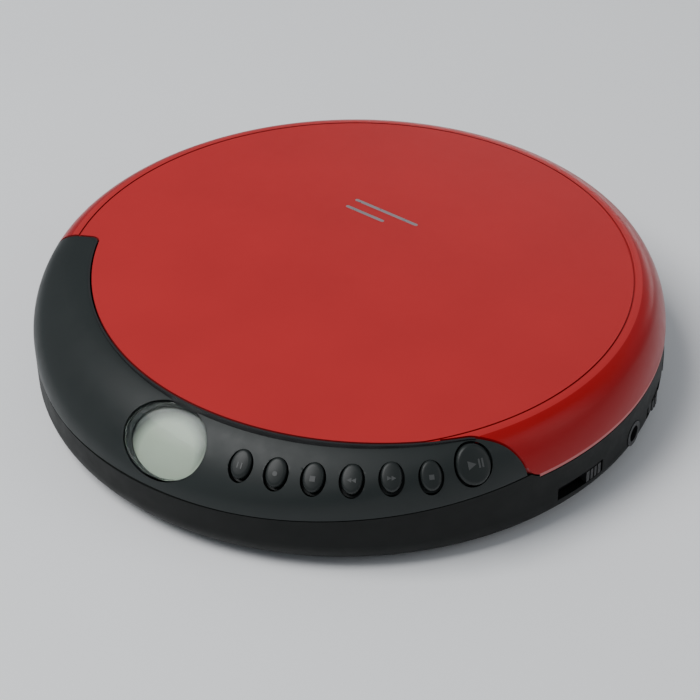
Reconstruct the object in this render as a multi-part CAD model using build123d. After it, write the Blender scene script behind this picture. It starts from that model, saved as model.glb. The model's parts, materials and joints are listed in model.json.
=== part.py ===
from build123d import *
import math
import os

os.makedirs("parts", exist_ok=True)

# A round portable disc player, in millimetres: +Z up, the front faces -Y, and the origin is on the
# table under the middle of the body. Angles are measured about +Z from +X.

# Body
BODY_R = 70.0           # outer radius
FLOOR_Z = 0.8           # underside of the floor, held up by the feet
FLOOR_TOP = 2.4
FLOOR_FILLET = 5.5
WALL_IN = 68.2          # inside radius of the lower body
SKIN = 1.7              # wall of the lid and of the control panel
BASE_TOP = 14.3         # rim of the lower body under the lid
PART_GAP = 0.25         # gap between the panel and the lower body
PART_Z = 17.2           # height of the tilted parting plane at the origin
PART_TILT = (-0.012, -0.083, 1.0)

# Lid skin: a shallow dome, a crease circle and a rim of two tangent arcs, tight above, wide below
LID_LOW = 14.6
CREASE_R = 62.5
CREASE_Z = 25.6
DOME_RISE = 0.9
CROWN_R = 4.0           # flat middle of the dome
RIM_W = BODY_R - CREASE_R
RIM_H = CREASE_Z - LID_LOW
RIM_TIGHT = 6.2
RIM_WIDE = (RIM_W ** 2 + (RIM_H - RIM_TIGHT) ** 2 - RIM_TIGHT ** 2) / (2 * (RIM_W - RIM_TIGHT))
RIM_TIGHT_C = (CREASE_R, CREASE_Z - RIM_TIGHT)
RIM_WIDE_C = (BODY_R - RIM_WIDE, LID_LOW)
RIM_BEND = math.atan2(RIM_TIGHT_C[1] - RIM_WIDE_C[1], RIM_TIGHT_C[0] - RIM_WIDE_C[0])

# Control panel skin: a flat top that rolls down to the front, turned about an axis behind the centre
SLOPE_AXIS_Y = 20.0
SLOPE_C = (69.36, 4.54)  # centre of the rolled arc, as radius from that axis and height
SLOPE_R = 21.8

# Seam between lid and panel
SEAM_C = (3.8, 7.3)
SEAM_R = 64.35
SEAM_HALF_GAP = 0.2
SEAM_LEFT = -153.7      # direction of the straight left end of the seam
HOOK_START = (56.0, -30.4)
HOOK_ANGLE = 34.0       # direction of the straight right end of the seam
HOOK_FILLET = 6.0
LEFT_FILLET = 2.0
LID_CORNER = 3.2        # rounded lower corner of the lid at the right end of the seam

# Hinge at the back
HINGE_Y = 67.0
HINGE_Z = 13.4
BARREL_R = 2.6
BARREL_X = (4.2, 13.5)
LUG_X = 3.8
PIN_R = 0.75

# Disc space
SPINDLE = (2.4, 4.2)
DECK_Z = (17.4, 18.6)
DECK_R = 65.2
SEAT_Z = 19.4           # height of the disc's underside

# Battery bay for two AA cells side by side
BAY_X = 26.2
BAY_Y = (27.5, 56.5)
BAY_WALL = 1.0
DOOR_HINGE = (26.6, 2.2)  # y, z of the door's hinge line
DOOR_KNUCKLE = 1.4
DOOR_X = 26.0
DOOR_Y = 57.0

# Keys on the sloped panel
KEY_COUNT = 6
KEY_FIRST = -69.8
KEY_PITCH = 6.55
KEY_RADIUS = 65.1
KEY_RADIUS_STEP = 0.69
KEY_BLEND = 0.2          # turn towards the rim's normal for each key past the fourth
KEY_CAP = (2.1, 3.0)     # half width and half length
KEY_WELL = (2.6, 3.45)
PLAY_XY = (59.3, -33.7)
PLAY_BLEND = 0.7
PLAY_CAP = (3.5, 4.1)
PLAY_WELL = (4.05, 4.6)
KEY_DEPTH = 2.5          # underside of a cap below the skin
KEY_BOARD_Z = (13.2, 14.0)

# Display window
LCD_XY = (4.5, -64.3)
WINDOW = (10.15, 8.2)    # half axes of the opening
LENS = (9.8, 7.85)
LENS_T = 1.2
LCD_DEPTH = 2.4
LCD_T = 1.2

# Controls and sockets round the wall
SIDE_Z = 7.2
JACK_BORE = 1.8
JACKS = {"phones_jack": 8.0, "line_jack": 31.0}
DC_ANGLE = 40.0
DC_BORE = 2.9
JACK_LOW = 4.6
WHEEL_ANGLE = 19.0
WHEEL_R = 7.5
WHEEL_C = 62.9
WHEEL_Z = (5.2, 7.8)
SWITCHES = {"hold": 150.0, "bass": 137.0}
OPEN_SLOT = (-13.5, -2.4)
OPEN_KNOB = (-6.8, -3.0)
LATCH_ANGLE = -36.0
LATCH_R = (60.5, 62.1)

# Disc drive
RAIL_Y = (-7.8, 16.2)
RAIL_Z = 11.0
RAIL_R = 1.2
CHASSIS_Z = (8.6, 9.8)
SLED_X = -20.6          # lens position at the innermost track
TOOTH = 0.5             # gear module
BACKLASH = 0.14         # share of a tooth's thickness that is left out
PINION_TEETH = 18
WHEEL_TEETH = 30
MOTOR_TEETH = 12
GEAR_X = -27.0
RACK_Y = -11.8          # pitch line of the rack
MOTOR_DIRECTION = -60.0

POSTS = [(33.8, 48.3), (-33.8, 48.3), (-43.3, -31.4), (-13.7, -51.2), (27.0, -46.8), (54.5, -19.8)]
POST_R = 2.6
POST_TOP = 17.3
BOARD_Z = (2.9, 3.9)
BOARD_R = 64.0
BOARD_SCREWS = [(24.0, 20.0), (24.0, -42.0), (58.0, -8.0)]
SCREW_R = 0.9
FOOT_R = 4.5
FOOT_RING = 54.0

LOW = (Align.CENTER, Align.CENTER, Align.MIN)


def disc(radius, z0, z1, x=0.0, y=0.0):
    return Pos(x, y, z0) * Cylinder(radius, z1 - z0, align=LOW)


def ring(inner, outer, z0, z1, x=0.0, y=0.0):
    return disc(outer, z0, z1, x, y) - disc(inner, z0 - 1, z1 + 1, x, y)


def block(x0, x1, y0, y1, z0, z1):
    return Pos((x0 + x1) / 2, (y0 + y1) / 2, (z0 + z1) / 2) * Box(x1 - x0, y1 - y0, z1 - z0)


def rod_x(radius, x0, x1, y, z):
    return Pos((x0 + x1) / 2, y, z) * Rot(0, 90, 0) * Cylinder(radius, x1 - x0)


def around(angle, shape):
    """Turn a shape that was drawn along +X to its place round the body."""
    return Rot(0, 0, angle) * shape


def sector(inner, outer, a0, a1, z0, z1):
    """A piece of ring between two angles."""
    start = (math.cos(math.radians(a0)), math.sin(math.radians(a0)))
    end = (math.cos(math.radians(a1)), math.sin(math.radians(a1)))
    outline = [
        CenterArc((0, 0), outer, a0, a1 - a0),
        Line((outer * end[0], outer * end[1]), (inner * end[0], inner * end[1])),
        CenterArc((0, 0), inner, a0, a1 - a0),
        Line((inner * start[0], inner * start[1]), (outer * start[0], outer * start[1])),
    ]
    return Pos(0, 0, z0) * extrude(make_face(outline), z1 - z0)


def turned(outline):
    """Turn an outline of radius and height about the vertical axis."""
    return revolve(Plane.XZ * make_face(outline), Axis.Z)


def dome_body(inset):
    """Everything under the lid's skin, moved in by inset."""
    top = CREASE_Z - inset
    wall = BODY_R - inset
    crown = top + DOME_RISE
    return turned([
        Line((0, 0), (wall, 0)),
        Line((wall, 0), (wall, LID_LOW)),
        CenterArc(RIM_WIDE_C, RIM_WIDE - inset, 0, math.degrees(RIM_BEND)),
        CenterArc(RIM_TIGHT_C, RIM_TIGHT - inset, math.degrees(RIM_BEND), 90 - math.degrees(RIM_BEND)),
        Spline((CREASE_R, top), (CROWN_R, crown), tangents=((-CREASE_R, 2 * DOME_RISE), (-1, 0))),
        Line((CROWN_R, crown), (0, crown)),
        Line((0, crown), (0, 0)),
    ])


def slope_body(inset):
    """Everything under the panel's rolled skin, moved in by inset."""
    radius = SLOPE_R - inset
    top = CREASE_Z - inset
    rise = top - SLOPE_C[1]
    top_x = SLOPE_C[0] + math.sqrt(radius ** 2 - rise ** 2)
    top_angle = math.degrees(math.atan2(rise, top_x - SLOPE_C[0]))
    edge = SLOPE_C[0] + radius
    return Pos(0, SLOPE_AXIS_Y, 0) * turned([
        Line((0, 0), (edge, 0)),
        Line((edge, 0), (edge, SLOPE_C[1])),
        CenterArc(SLOPE_C, radius, 0, top_angle),
        Line((top_x, top), (0, top)),
        Line((0, top), (0, 0)),
    ])


def skin_height(x, y):
    """Height of the panel's outer surface over a point of the plan."""
    radius = math.hypot(x, y)
    if radius > RIM_TIGHT_C[0] + RIM_TIGHT * math.cos(RIM_BEND):
        rim = LID_LOW + math.sqrt(max(RIM_WIDE ** 2 - (radius - RIM_WIDE_C[0]) ** 2, 0))
    else:
        rim = RIM_TIGHT_C[1] + math.sqrt(RIM_TIGHT ** 2 - max(radius - CREASE_R, 0) ** 2)
    reach = max(math.hypot(x, y - SLOPE_AXIS_Y) - SLOPE_C[0], 0)
    slope = SLOPE_C[1] + math.sqrt(max(SLOPE_R ** 2 - reach ** 2, 0))
    return min(rim, slope, CREASE_Z)


def slope_normal(x, y):
    """Outward normal of the rolled skin over a point of the plan."""
    out = Vector(x, y - SLOPE_AXIS_Y, 0)
    reach = out.length - SLOPE_C[0]
    return (out.normalized() * reach + Vector(0, 0, math.sqrt(SLOPE_R ** 2 - reach ** 2))).normalized()


def rim_normal(x, y):
    """Outward normal of the rim's wide arc over a point of the plan."""
    out = Vector(x, y, 0)
    across = (out.length - RIM_WIDE_C[0]) / RIM_WIDE
    return out.normalized() * across + Vector(0, 0, math.sqrt(1 - across ** 2))


def skin_plane(x, y, blend=0.0):
    """A plane on the panel's skin, with x along the body, y up the slope and z outward.

    blend turns it from the rolled skin's normal towards the rim's normal.
    """
    normal = slope_normal(x, y)
    if blend > 0:
        normal = normal * (1 - blend) + rim_normal(x, y) * blend
    return Plane(origin=(x, y, skin_height(x, y)), x_dir=(-normal.Y, normal.X, 0), z_dir=normal)


def oval(plane, half, depth, height, shift=0.0):
    """An oval prism across a plane, from depth below it to height above it."""
    return plane * Pos(0, shift, -depth) * extrude(Ellipse(half[0], half[1]), depth + height)


def crescent(grow):
    """Plan of the control panel, enlarged by grow."""
    hook = (math.cos(math.radians(HOOK_ANGLE)), math.sin(math.radians(HOOK_ANGLE)))
    left = (math.cos(math.radians(SEAM_LEFT)), math.sin(math.radians(SEAM_LEFT)))
    outline = [
        (HOOK_START[0] - 10 * hook[0], HOOK_START[1] - 10 * hook[1]),
        (HOOK_START[0] + 22 * hook[0], HOOK_START[1] + 22 * hook[1]),
        (100, -30),
        (100, -100),
        (-100, -100),
        (90 * left[0], 90 * left[1]),
        (45 * left[0], 45 * left[1]),
    ]
    wedge = make_face(Polyline(*outline, close=True))
    wedge = offset(wedge, amount=grow, kind=Kind.INTERSECTION)
    plan = wedge - Pos(*SEAM_C) * Circle(SEAM_R - grow)
    corner = plan.vertices().sort_by_distance((HOOK_START[0], HOOK_START[1], 0))[0]
    plan = fillet(corner, HOOK_FILLET)
    corner = plan.vertices().sort_by_distance((58 * left[0], 58 * left[1], 0))[0]
    return fillet(corner, LEFT_FILLET)


def crescent_prism(grow):
    return Pos(0, 0, -5) * extrude(crescent(grow), 45)


def below_parting(lift):
    """Half space under the tilted parting plane, lifted a little."""
    plane = Plane(origin=(0, 0, PART_Z + lift), x_dir=(1, 0, 0.012), z_dir=PART_TILT)
    return plane * Pos(0, 0, -50) * Box(300, 300, 100)


def corner_prism(gap):
    """What the rounding of the lid's lower corner takes off, moved back from the lid by gap."""
    turn = math.radians(HOOK_ANGLE)
    into_lid = (-math.sin(turn), math.cos(turn), 0)
    along = (math.cos(turn), math.sin(turn), 0)
    start_x = HOOK_START[0] + SEAM_HALF_GAP * into_lid[0]
    start_y = HOOK_START[1] + SEAM_HALF_GAP * into_lid[1]
    plane = Plane(origin=(start_x, start_y, LID_LOW), x_dir=into_lid, z_dir=along)
    half = (LID_CORNER - 1) / 2
    corner = Pos(half, half) * Rectangle(LID_CORNER + 1, LID_CORNER + 1)
    corner -= Pos(LID_CORNER, LID_CORNER) * Circle(LID_CORNER + gap)
    return plane * Pos(0, 0, 3) * extrude(corner, 11)


def key_planes():
    """The planes of the small keys, from the display towards the right."""
    planes = []
    for index in range(KEY_COUNT):
        angle = math.radians(KEY_FIRST + KEY_PITCH * index)
        radius = KEY_RADIUS + KEY_RADIUS_STEP * index
        blend = max(index - 3, 0) * KEY_BLEND
        planes.append(skin_plane(radius * math.cos(angle), radius * math.sin(angle), blend))
    return planes


def play_plane():
    return skin_plane(*PLAY_XY, PLAY_BLEND)


def panel_skin(inset):
    return dome_body(inset) & slope_body(inset)


def control_panel():
    skin = panel_skin(0) - panel_skin(SKIN)
    lip = ring(67.0, 68.05, 5, 30) - below_parting(-1.6)
    tie = ring(67.0, 69.0, 5, 30) - below_parting(PART_GAP)
    lip = (lip + tie) & below_parting(2.5) & panel_skin(0.5)
    skirt = ring(SEAM_R - 1, SEAM_R + 1.2, 18.0, 30, *SEAM_C) & panel_skin(0.5)
    panel = (skin - below_parting(PART_GAP)) + skirt + lip
    panel = panel & crescent_prism(-SEAM_HALF_GAP)
    for plane in key_planes():
        panel -= oval(plane, KEY_WELL, 6, 4)
        panel -= oval(plane, (3.2, 4.1), 5, -SKIN)
    play = play_plane()
    panel -= oval(play, PLAY_WELL, 6, 4)
    panel -= oval(play, (4.7, 5.2), 5, -SKIN)
    window = skin_plane(*LCD_XY)
    panel -= oval(window, WINDOW, 8, 4)
    panel -= window * Pos(0, -1, -LCD_DEPTH - 1.2) * Box(20, 14, 3.4)
    return panel.solids().sort_by(SortBy.VOLUME)[-1]


def key(plane, cap, well):
    """A cap that stands proud at its lower end, with a flange that holds it behind the panel."""
    outward = plane.z_dir
    flat = math.hypot(outward.X, outward.Y)
    proud = Pos(0.75 * outward.X / flat, 0.75 * outward.Y / flat, -0.3) * panel_skin(0)
    body = oval(plane, cap, KEY_DEPTH, 4, 0.2) & proud
    flange = oval(plane, (well[0] + 0.35, cap[1]), KEY_DEPTH, 0, 0.0) & panel_skin(SKIN + 0.3)
    return body + flange


def key_switches():
    """Push switches on the key board, one behind each key, each with an angled plunger."""
    switches = []
    for plane in key_planes() + [play_plane()]:
        seat = plane.origin - plane.z_dir * 4.6
        angle = math.degrees(math.atan2(seat.Y, seat.X))
        radius = math.hypot(seat.X, seat.Y)
        case = around(angle, block(radius - 1.3, radius + 1.3, -1.6, 1.6, KEY_BOARD_Z[1], seat.Z))
        plunger = plane * Pos(0, 0, -5.2) * Cylinder(0.9, 1.8, align=LOW)
        switches.append(case + plunger)
    return switches


def key_board():
    """Curved board under the keys, with a notch that the lid's hook passes."""
    return sector(59.5, 66.8, -73.5, -25.0, *KEY_BOARD_Z) - sector(55, 62.5, -42, -32, 10, 20)


def lcd_lens():
    window = skin_plane(*LCD_XY)
    return oval(window, LENS, 8, 4) & (panel_skin(0) - panel_skin(LENS_T))


def lcd_bezel():
    """Frame under the lens that hides the edge of the display."""
    window = skin_plane(*LCD_XY)
    frame = oval(window, LENS, 4.2, 0) - oval(window, (8.9, 7.0), 8, 4)
    frame = frame & panel_skin(LENS_T + 0.05) & crescent_prism(-1.2)
    return frame - window * Pos(0, -0.7, -LCD_DEPTH - 0.1 - LCD_T / 2) * Box(19.1, 12.7, LCD_T + 0.1)


def lcd_module():
    window = skin_plane(*LCD_XY)
    plate = window * Pos(0, -0.7, -LCD_DEPTH - 0.1 - LCD_T / 2) * Box(19.0, 12.6, LCD_T)
    return plate & panel_skin(SKIN + 0.3)


def lid_shell():
    skin = dome_body(0) - dome_body(SKIN)
    skin &= disc(BODY_R + 5, LID_LOW, 30)
    skin -= crescent_prism(SEAM_HALF_GAP)
    skin -= corner_prism(0)
    skin -= ring(CREASE_R - 0.2, CREASE_R + 0.2, CREASE_Z - 0.35, 30)
    web_zone = dome_body(SKIN / 2) & block(-BARREL_X[1], BARREL_X[1], 64.6, 72, LID_LOW, 18.0)
    barrels = rod_x(BARREL_R, -BARREL_X[1], BARREL_X[1], HINGE_Y, HINGE_Z) & dome_body(0)
    hinge = web_zone + barrels
    hinge -= block(-BARREL_X[0], BARREL_X[0], 60, 72, 5, 18.5)
    lid = skin + hinge
    lid -= rod_x(BARREL_R + 0.35, -BARREL_X[0], BARREL_X[0], HINGE_Y, HINGE_Z)
    lid -= rod_x(PIN_R + 0.05, -BARREL_X[1] + 0.4, BARREL_X[1] - 0.4, HINGE_Y, HINGE_Z)
    return lid + latch_hook()


def latch_hook():
    """Hook under the lid's front edge, whose barb the open slider holds."""
    shank = sector(*LATCH_R, LATCH_ANGLE - 1.2, LATCH_ANGLE + 1.2, 9.1, 24.6)
    barb = sector(*LATCH_R, LATCH_ANGLE - 2.6, LATCH_ANGLE + 1.2, 9.1, 10.3)
    return shank + barb


def base_walls():
    outer = turned([
        Line((0, FLOOR_Z), (BODY_R - FLOOR_FILLET, FLOOR_Z)),
        CenterArc((BODY_R - FLOOR_FILLET, FLOOR_Z + FLOOR_FILLET), FLOOR_FILLET, -90, 90),
        Line((BODY_R, FLOOR_Z + FLOOR_FILLET), (BODY_R, 20)),
        Line((BODY_R, 20), (0, 20)),
        Line((0, 20), (0, FLOOR_Z)),
    ])
    fillet_in = FLOOR_FILLET - 1.6
    inner = turned([
        Line((0, FLOOR_TOP), (WALL_IN - fillet_in, FLOOR_TOP)),
        CenterArc((WALL_IN - fillet_in, FLOOR_TOP + fillet_in), fillet_in, -90, 90),
        Line((WALL_IN, FLOOR_TOP + fillet_in), (WALL_IN, 21)),
        Line((WALL_IN, 21), (0, 21)),
        Line((0, 21), (0, FLOOR_TOP)),
    ])
    shell = outer - inner
    panel_zone = crescent_prism(0)
    under_lid = (shell & disc(BODY_R + 5, 0, BASE_TOP)) - panel_zone
    under_panel = shell & panel_zone & below_parting(0)
    corner = ring(WALL_IN, BODY_R, LID_LOW - 0.9, 18) & corner_prism(0.3) & below_parting(0)
    return under_lid + under_panel + corner


def base_shell():
    base = base_walls() - hinge_trough()
    base += bay_walls() + posts() + hinge_lug() + slider_guides() + chassis_posts()
    base -= block(-DOOR_X - 0.3, DOOR_X + 0.3, 28.1, DOOR_Y + 0.3, 0, FLOOR_TOP + 0.1)
    base -= block(-24.7, 24.7, DOOR_HINGE[0] - DOOR_KNUCKLE - 0.3, 29, 0, 4.0)
    base += door_bearings()
    for angle in JACKS.values():
        base -= around(angle, Pos(67, 0, SIDE_Z) * Rot(0, 90, 0) * Cylinder(3.0, 10))
    base -= around(DC_ANGLE, Pos(67, 0, SIDE_Z) * Rot(0, 90, 0) * Cylinder(3.9, 10))
    base -= around(WHEEL_ANGLE, block(66, 72, -5.7, 5.7, WHEEL_Z[0] - 0.4, WHEEL_Z[1] + 0.4))
    base -= sector(66, 72, *OPEN_SLOT, SIDE_Z - 1.6, SIDE_Z + 1.6)
    for angle in SWITCHES.values():
        base -= around(angle, block(64, 72, -4.0, 4.0, SIDE_Z - 1.3, SIDE_Z + 1.3))
    for x, y in BOARD_SCREWS:
        base += disc(2.0, 1.6, BOARD_Z[0], x, y)
        base -= disc(SCREW_R, 1.4, 5.0, x, y)
    for x, y in POSTS:
        base -= disc(2.5, 0, 2.2, x, y)
        base -= disc(1.0, 0, POST_TOP - 2, x, y)
    return base


def bay_walls():
    outer = block(-BAY_X - BAY_WALL, BAY_X + BAY_WALL, BAY_Y[0] - BAY_WALL, BAY_Y[1] + BAY_WALL,
                  FLOOR_Z, DECK_Z[0] - 0.1)
    return outer - block(-BAY_X, BAY_X, *BAY_Y, 0, 20)


def posts():
    first, *others = [disc(POST_R, FLOOR_Z, POST_TOP, x, y) for x, y in POSTS]
    for post in others:
        first += post
    return first


def chassis_posts():
    """Three short posts that carry the damper rubbers of the disc drive."""
    first, *others = [disc(2.2, FLOOR_Z, 5.8, x, y) for x, y in damper_places()]
    for post in others:
        first += post
    return first


def damper_places():
    return [(-52.0, -16.0), (-46.0, 21.4), (14.0, -20.0)]


def hinge_trough():
    """Room for the back edge of the lid as it swings down behind the hinge."""
    trough = rod_x(3.6, -9.0, 9.0, HINGE_Y, HINGE_Z)
    trough += rod_x(3.0, -14.0, 14.0, HINGE_Y, HINGE_Z)
    return trough + rod_x(2.4, -20.8, 20.8, HINGE_Y, HINGE_Z)


def hinge_lug():
    lug = rod_x(BARREL_R, -LUG_X, LUG_X, HINGE_Y, HINGE_Z)
    lug += block(-LUG_X, LUG_X, HINGE_Y - BARREL_R, 69.0, 3.0, HINGE_Z)
    lug -= rod_x(PIN_R, -LUG_X - 1, LUG_X + 1, HINGE_Y, HINGE_Z)
    return lug & disc(BODY_R - 0.1, 0, 20)


def slider_guides():
    guides = around(-20, block(64.6, 66.0, -2, 2, FLOOR_Z, 9.8))
    return guides + around(-29, block(64.6, 66.0, -2, 2, FLOOR_Z, 9.8))


def door_bearings():
    """Bosses in the floor that hold the trunnions of the battery door."""
    bosses = block(22.4, 26.3, DOOR_HINGE[0] - 1.7, 28.0, FLOOR_Z, 3.6)
    bosses += block(-26.3, -22.4, DOOR_HINGE[0] - 1.7, 28.0, FLOOR_Z, 3.6)
    return bosses - rod_x(0.75, -24.9, 24.9, *DOOR_HINGE)


def battery_door():
    plate = block(-DOOR_X, DOOR_X, 28.9, DOOR_Y, FLOOR_Z, 2.3)
    neck = block(-22.0, 22.0, DOOR_HINGE[0], 29.0, FLOOR_Z, 2.3)
    knuckle = rod_x(DOOR_KNUCKLE, -22.0, 22.0, *DOOR_HINGE)
    trunnions = rod_x(0.68, -24.5, 24.5, *DOOR_HINGE)
    door = plate + neck + knuckle + trunnions
    for index in range(6):
        y = 44.0 + 2.0 * index
        half = 9.0 - 1.1 * index
        door -= block(-half, half, y, y + 0.8, 0.5, FLOOR_Z + 0.4)
    return door


def battery_contacts():
    """Plated contact plates with a pressed cone, two at each end of the bay."""
    contacts = []
    for side in (-1, 1):
        for y in (34.8, 49.2):
            plate = Pos(side * (BAY_X - 0.15), y, 9.8) * Box(0.3, 9.0, 10.0)
            cone = Pos(side * (BAY_X - 0.3), y, 9.8) * Rot(0, -90 * side, 0)
            contacts.append(plate + cone * Cone(2.6, 1.2, 0.5, align=LOW))
    return contacts


def deck():
    plate = disc(DECK_R, *DECK_Z) - crescent_prism(0.6)
    plate -= block(-21.5, 21.5, 62.5, 70, 10, 20)
    plate -= disc(16.0, 10, 20, *SPINDLE)
    plate -= block(-59.0, -10.0, SPINDLE[1] - 6.0, SPINDLE[1] + 6.0, 10, 20)
    plate -= sector(60.0, 70, LATCH_ANGLE - 3.6, LATCH_ANGLE + 2.4, 10, 20)
    plate -= sector(61.6, 70, LATCH_ANGLE - 4.0, -24.5, 10, 20)
    rim = ring(61.6, 62.8, DECK_Z[1], 19.8, *SPINDLE) - crescent_prism(0.6)
    rim = (rim & disc(DECK_R, 10, 25)) - block(-25, 25, 62.0, 75, 10, 30)
    rim -= sector(55, 72, LATCH_ANGLE - 4.5, -24.0, 10, 30)
    deck_plate = plate + rim
    for x, y in POSTS:
        deck_plate -= disc(1.1, 10, 20, x, y)
    return deck_plate


def case_screws():
    """Screws that come up through the floor into the posts of the deck."""
    screws = []
    for x, y in POSTS:
        head = disc(2.1, 1.0, 2.2, x, y) - block(x - 1.6, x + 1.6, y - 0.25, y + 0.25, 0.9, 1.5)
        head -= block(x - 0.25, x + 0.25, y - 1.6, y + 1.6, 0.9, 1.5)
        screws.append(head + disc(1.0, 2.0, 13.5, x, y))
    return screws


def feet():
    pads = []
    for angle in (45, 135, 225, 315):
        x = FOOT_RING * math.cos(math.radians(angle))
        y = FOOT_RING * math.sin(math.radians(angle))
        pad = disc(FOOT_R, 0, FLOOR_Z, x, y)
        pads.append(chamfer(pad.edges().sort_by(Axis.Z)[0], 0.3))
    return pads


def hinge_pin():
    return rod_x(PIN_R, -BARREL_X[1] + 0.6, BARREL_X[1] - 0.6, HINGE_Y, HINGE_Z)


def open_slider():
    """Curved slider behind the wall: knob, track and the finger that ends beside the lid's barb."""
    track = sector(66.3, 67.7, -41.0, 1.0, 5.0, 9.5)
    knob = sector(66.3, 70.05, *OPEN_KNOB, SIDE_Z - 1.3, SIDE_Z + 1.3)
    for index in range(3):
        angle = OPEN_KNOB[0] + 0.95 * (index + 1)
        knob -= around(angle, block(69.75, 71.0, -0.2, 0.2, 5, 10))
    riser = sector(66.3, 67.7, -41.0, -38.9, 5.0, 12.0)
    finger = sector(LATCH_R[0], 67.7, -41.0, -38.9, 10.6, 12.0)
    return track + knob + riser + finger


def phone_jack(angle):
    """Socket for a 3.5 mm plug, with a collar in the wall."""
    case = block(54.0, 67.6, -3.2, 3.2, JACK_LOW, 10.4)
    collar = Pos(67.5, 0, SIDE_Z) * Rot(0, 90, 0) * Cylinder(2.85, 2.6, align=LOW)
    bore = Pos(56.0, 0, SIDE_Z) * Rot(0, 90, 0) * Cylinder(JACK_BORE, 20, align=LOW)
    return around(angle, (case + collar) - bore)


def dc_jack():
    """Power socket with its centre pin."""
    case = block(57.0, 67.4, -4.4, 4.4, JACK_LOW, 11.2)
    collar = Pos(67.3, 0, SIDE_Z) * Rot(0, 90, 0) * Cylinder(3.75, 2.3, align=LOW)
    bore = Pos(59.5, 0, SIDE_Z) * Rot(0, 90, 0) * Cylinder(DC_BORE, 20, align=LOW)
    pin = Pos(59.0, 0, SIDE_Z) * Rot(0, 90, 0) * Cylinder(1.0, 8.5, align=LOW)
    return around(DC_ANGLE, (case + collar) - bore + pin)


def wheel_place():
    angle = math.radians(WHEEL_ANGLE)
    return (WHEEL_C * math.cos(angle), WHEEL_C * math.sin(angle))


def volume_wheel():
    x, y = wheel_place()
    wheel = disc(WHEEL_R, *WHEEL_Z, x, y) - disc(1.05, 0, 20, x, y)
    for index in range(36):
        turn = math.radians(10 * index)
        wheel -= disc(0.3, 0, 20, x + WHEEL_R * math.cos(turn), y + WHEEL_R * math.sin(turn))
    return wheel


def volume_pot():
    x, y = wheel_place()
    return disc(4.0, BOARD_Z[1], 4.9, x, y) + disc(1.0, 4.9, 8.3, x, y)


def switch_knob(angle):
    knob = block(67.0, 70.8, -3.25, 0.75, SIDE_Z - 1.0, SIDE_Z + 1.0)
    knob -= block(70.4, 71, -1.5, -1.0, 5, 10)
    return around(angle, knob + block(66.2, 67.6, -5.6, 3.1, SIDE_Z - 1.9, SIDE_Z + 1.9))


def switch_case(angle):
    return around(angle, block(62.0, 65.8, -5.0, 5.0, 4.6, 9.8))


def gear(teeth, z0, z1, x, y, turn=0.0):
    """Spur gear with involute flanks; turn is the direction of one tooth in degrees."""
    pitch_r = TOOTH * teeth / 2
    base_r = pitch_r * math.cos(math.radians(20))
    root_r = pitch_r - 1.2 * TOOTH
    tip_r = pitch_r + 0.85 * TOOTH
    half = math.pi / (2 * teeth) * (1 - BACKLASH)
    half += math.tan(math.radians(20)) - math.radians(20)
    points = []
    for tooth in range(teeth):
        middle = math.radians(turn) + 2 * math.pi * tooth / teeth
        flank = [(root_r, half)]
        for step in range(4):
            radius = max(base_r, root_r) + (tip_r - max(base_r, root_r)) * step / 3
            roll = math.acos(min(base_r / radius, 1))
            flank.append((radius, half - (math.tan(roll) - roll)))
        right = [(r, middle - a) for r, a in flank]
        left = [(r, middle + a) for r, a in reversed(flank)]
        points += [(r * math.cos(a), r * math.sin(a)) for r, a in right + left]
    outline = make_face(Polyline(*points, close=True))
    return Pos(x, y, z0) * extrude(outline, z1 - z0)


def rack(x0, teeth, y, z0, z1):
    """Straight rack whose teeth point to -Y from the pitch line y."""
    pitch = math.pi * TOOTH
    slant = math.tan(math.radians(20))
    half = pitch / 4 * (1 - BACKLASH)
    outer = 0.85 * TOOTH
    inner = 1.2 * TOOTH
    points = [(x0, y + 2.2), (x0, y + inner)]
    for tooth in range(teeth):
        middle = x0 + pitch * (tooth + 0.5)
        points += [
            (middle - half - slant * inner, y + inner),
            (middle - half + slant * outer, y - outer),
            (middle + half - slant * outer, y - outer),
            (middle + half + slant * inner, y + inner),
        ]
    points += [(x0 + pitch * teeth, y + inner), (x0 + pitch * teeth, y + 2.2)]
    return Pos(0, 0, z0) * extrude(make_face(Polyline(*points, close=True)), z1 - z0)


def drive_centre():
    return (GEAR_X, RACK_Y - TOOTH * PINION_TEETH / 2)


def motor_centre():
    reach = TOOTH * (WHEEL_TEETH + MOTOR_TEETH) / 2
    direction = math.radians(MOTOR_DIRECTION)
    x, y = drive_centre()
    return (x + reach * math.cos(direction), y + reach * math.sin(direction))


def sled_rack():
    pitch = math.pi * TOOTH
    start = GEAR_X - 2.5 * pitch
    return rack(start, 25, RACK_Y, 12.5, 14.3)


def sled():
    """Pickup carriage: two bushings on the rails and an arm that carries the rack."""
    x0 = SLED_X - 6.0
    x1 = SLED_X + 6.0
    middle = SPINDLE[1]
    body = block(x0, x1, RAIL_Y[0] + 2.4, RAIL_Y[1] - 2.4, 10.2, 16.6)
    body += block(x0, x1, RAIL_Y[0] - 1.9, RAIL_Y[1] + 1.9, 10.2, 12.4)
    for y in RAIL_Y:
        body -= rod_x(RAIL_R + 0.06, x0 - 1, x1 + 1, y, RAIL_Z)
    body += block(x0, x1, RACK_Y + 2.2, RAIL_Y[0] + 3.0, 12.4, 14.3)
    body -= disc(3.4, 12.0, 20, SLED_X, middle)
    return body


def objective():
    """Focus lens in its round holder, standing in the sled."""
    holder = ring(2.0, 3.1, 12.2, 17.9, SLED_X, SPINDLE[1])
    return holder + disc(3.1, 12.0, 12.6, SLED_X, SPINDLE[1])


def objective_lens():
    lens = disc(1.9, 16.6, 17.6, SLED_X, SPINDLE[1])
    return fillet(lens.edges().sort_by(Axis.Z)[-1], 0.8)


def guide_rails():
    return [rod_x(RAIL_R, -62.6, -8.5, y, RAIL_Z) for y in RAIL_Y]


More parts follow.
